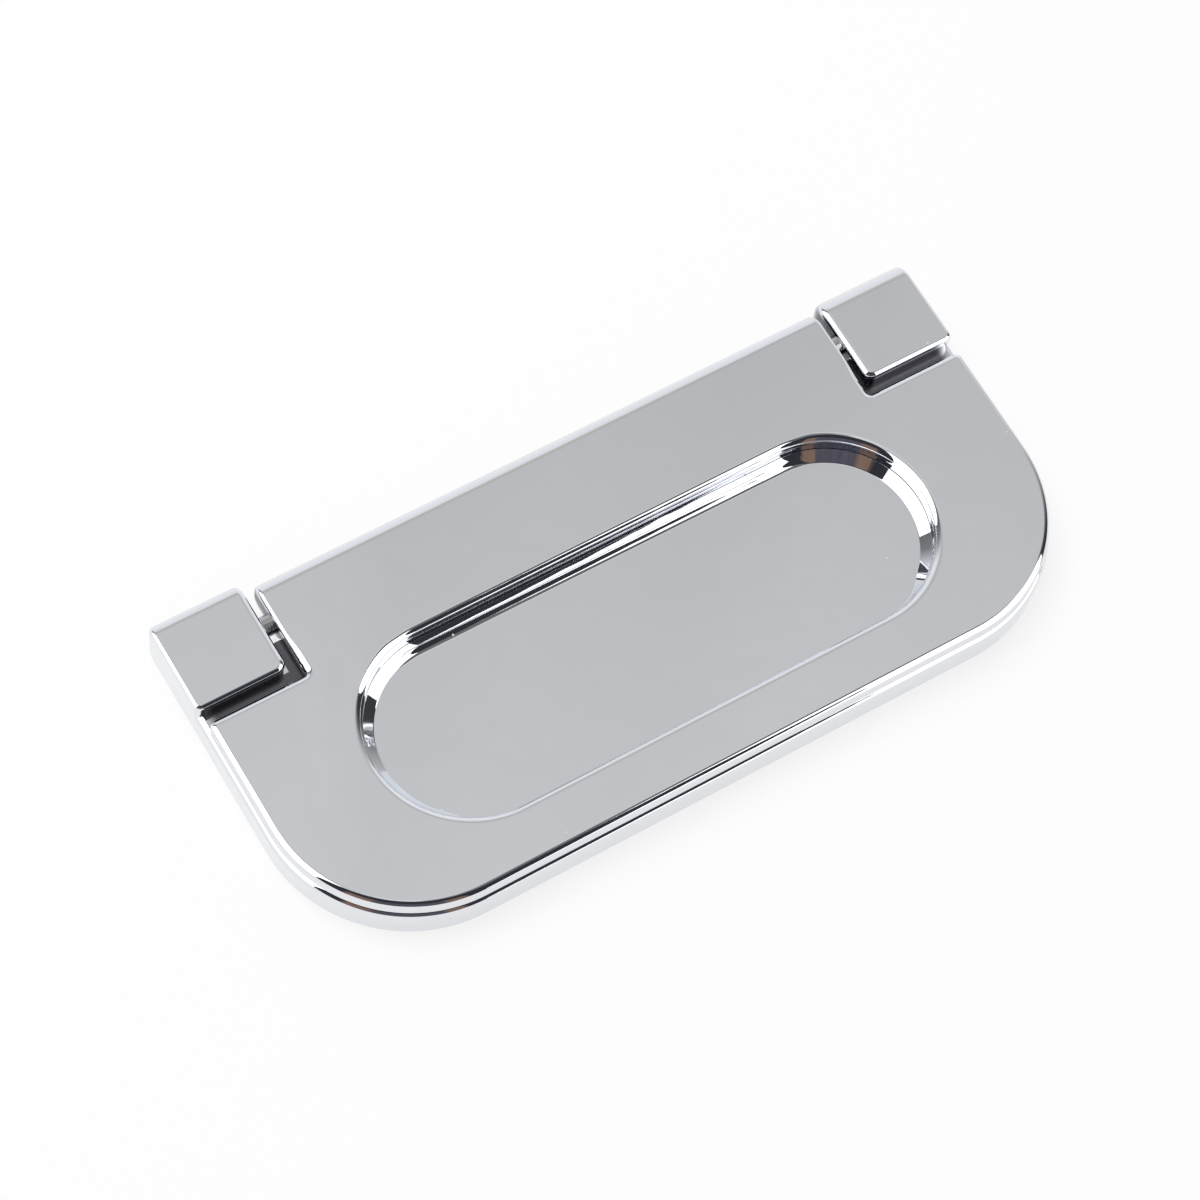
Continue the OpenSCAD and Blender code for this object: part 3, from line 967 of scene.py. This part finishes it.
def drape_glow(name):
    """A dark drape with two warm posts before it and soft folds, unlit above."""
    made, wire = new_material(name)
    place = wire.node("ShaderNodeTexCoord", out="Object")
    folds = noise(wire, place, FOLD_SCALE, FOLD_DETAIL)
    cloth = turn_ramp(wire, place, DRAPE, FOLD_SWAY * folds - FOLD_SWAY / 2)
    way = wire.node("ShaderNodeVectorMath", {"operation": "NORMALIZE"}, {0: place})
    unlit = smooth(wire, coordinate(wire, way, "Z"), sin(radians(DRAPE_LIT)), sin(radians(DRAPE_UNLIT)))
    glowing(wire, multiply(wire, mix(wire, unlit, cloth, DARK), mix(wire, folds, FOLD_DEEP, FOLD_HIGH)))
    return made


def on_sphere(turn, height, reach):
    """Place on a sphere about the handle, angles in degrees."""
    across = reach * cos(radians(height))
    return (across * cos(radians(turn)), across * sin(radians(turn)), reach * sin(radians(height)))


def add_panel(name, corners, reach, material):
    """Part of a sphere about the handle, seen by reflections alone."""
    outline = []
    for (turn, height), (next_turn, next_height) in zip(corners, corners[1:] + corners[:1]):
        on, up = next_turn - turn, next_height - height
        steps = max(1, round(max(abs(on), abs(up)) / PANEL_STEP))
        outline += [(turn + on * step / steps, height + up * step / steps) for step in range(steps)]
    flat = [Vector((turn, height, 0.0)) for turn, height in outline]
    points = [on_sphere(turn, height, reach) for turn, height in outline]
    mesh = bpy.data.meshes.new(name)
    mesh.from_pydata(points, [], [tuple(face) for face in tessellate_polygon([flat])])
    mesh.materials.append(material)
    made = add_object(name, mesh)
    made.visible_camera = made.visible_diffuse = made.visible_shadow = False


def add_camera(scene, studio):
    """The camera at the photograph's viewing angle."""
    camera = bpy.data.cameras.new("camera")
    camera.lens = studio.lens
    camera.sensor_width = FRAME_WIDTH
    camera.clip_start, camera.clip_end = CLIP_NEAR, CLIP_FAR
    eye = add_object("camera", camera)
    eye.location = studio.eye
    eye.rotation_mode = "QUATERNION"
    eye.rotation_quaternion = Quaternion(studio.aim)
    scene.camera = eye


def seen_rays(wire):
    """1 for what the camera sees, straight, mirrored or through glass."""
    rays = wire.node("ShaderNodeLightPath").socket.node.outputs
    straight, mirror, glass = (Wire(wire.tree, rays[name]) for name in RAYS_SEEN)
    return wire.maths("MAXIMUM", straight, wire.maths("MAXIMUM", mirror, glass))


def add_world(scene, studio):
    """White surroundings, which light the handle at a plain level."""
    world = bpy.data.worlds.new("studio_white")
    world.use_nodes = True
    world.node_tree.nodes.clear()
    wire = Wire(world.node_tree)
    white = mix(wire, seen_rays(wire), tone(studio.fill), WHITE)
    back = wire.node("ShaderNodeBackground", None, {"Color": white, "Strength": 1.0})
    wire.node("ShaderNodeOutputWorld", None, {"Surface": back})
    scene.world = world


def add_floor(studio):
    """The pale floor, which keeps the handle's shadow."""
    made, wire = new_material("floor")
    matt = wire.node("ShaderNodeBsdfDiffuse", None, {"Color": opaque(studio.floor)})
    glow = wire.node("ShaderNodeEmission", None, {"Color": opaque(WHITE), "Strength": 1.0})
    both = wire.node("ShaderNodeMixShader", None, {
        0: studio.floor_glow * seen_rays(wire), 1: matt, 2: glow})
    wire.node("ShaderNodeOutputMaterial", None, {"Surface": both})
    far = FLOOR_REACH * studio.reach
    mesh = bpy.data.meshes.new("floor")
    mesh.from_pydata([(-far, -far, 0), (far, -far, 0), (far, far, 0), (-far, far, 0)], [], [(0, 1, 2, 3)])
    mesh.materials.append(made)
    add_object("floor", mesh)


def add_lamp(studio):
    """A soft lamp above, turned to the handle, which reflections don't see."""
    lamp = bpy.data.lights.new("softlight", "AREA")
    lamp.shape = "SQUARE"
    lamp.size = studio.lamp_size
    lamp.energy = studio.lamp_power
    light = add_object("softlight", lamp)
    light.location = studio.lamp_place
    light.rotation_mode = "QUATERNION"
    light.rotation_quaternion = Vector(light.location).to_track_quat("Z", "Y")
    light.visible_glossy = False


# Operators and panel

class HANDLE_OT_studio(bpy.types.Operator):
    """Makes the camera, the floor, the lamp and the panels"""
    bl_idname = "handle.studio"
    bl_label = "Studio"

    def execute(self, context):
        scene, studio = context.scene, context.scene.handle_studio
        scene.view_settings.view_transform = "Standard"
        add_camera(scene, studio)
        add_world(scene, studio)
        add_floor(studio)
        add_lamp(studio)
        for order, (name, (corners, heights, turns)) in enumerate(PANELS.items()):
            material = panel_glow(name, heights, turns) if heights else drape_glow(name)
            add_panel(name, corners, studio.reach * (1.0 + studio.spacing * order), material)
        return {"FINISHED"}


class HANDLE_OT_base(bpy.types.Operator):
    """Builds the plated base with its hinge blocks"""
    bl_idname = "handle.base"
    bl_label = "Base"

    def execute(self, context):
        build_base(in_mm(context.scene.handle_base), plating(context))
        return {"FINISHED"}


class HANDLE_OT_flap(bpy.types.Operator):
    """Builds the plated flap"""
    bl_idname = "handle.flap"
    bl_label = "Flap"

    def execute(self, context):
        build_flap(in_mm(context.scene.handle_flap), plating(context))
        return {"FINISHED"}


class HANDLE_OT_pins(bpy.types.Operator):
    """Gives the two hinge pins their turned finish"""
    bl_idname = "handle.pins"
    bl_label = "Hinge pins"

    def execute(self, context):
        steel = pin_steel(context.scene.handle_finish)
        for name in ("hinge_pin_left", "hinge_pin_right"):
            pin = frame["nodes"][name]
            pin.data.materials.clear()
            pin.data.materials.append(steel)
        return {"FINISHED"}


class HANDLE_PT_panel(bpy.types.Panel):
    """Lists the handle's operators"""
    bl_idname = "HANDLE_PT_panel"
    bl_label = "Folding pull handle"
    bl_space_type = "VIEW_3D"
    bl_region_type = "UI"
    bl_category = "Handle"

    def draw(self, context):
        for operator in OPERATORS:
            self.layout.operator(operator.bl_idname)


OPERATORS = (HANDLE_OT_studio, HANDLE_OT_base, HANDLE_OT_flap, HANDLE_OT_pins)
GROUPS = {"handle_flap": FlapSizes, "handle_base": BaseSizes,
          "handle_finish": FinishSettings, "handle_studio": StudioSettings}
CLASSES = (*GROUPS.values(), *OPERATORS, HANDLE_PT_panel)


def register():
    """Registers the classes and hangs the settings on the scene."""
    for made in CLASSES:
        bpy.utils.register_class(made)
    for name, group in GROUPS.items():
        setattr(bpy.types.Scene, name, bpy.props.PointerProperty(type=group))


def unregister():
    """Takes the settings and the classes away again."""
    for name in GROUPS:
        delattr(bpy.types.Scene, name)
    for made in reversed(CLASSES):
        bpy.utils.unregister_class(made)


def main():
    """Builds the studio and the handle."""
    register()
    bpy.ops.handle.studio()
    bpy.ops.handle.base()
    bpy.ops.handle.flap()
    bpy.ops.handle.pins()


if __name__ == "__main__":
    main()
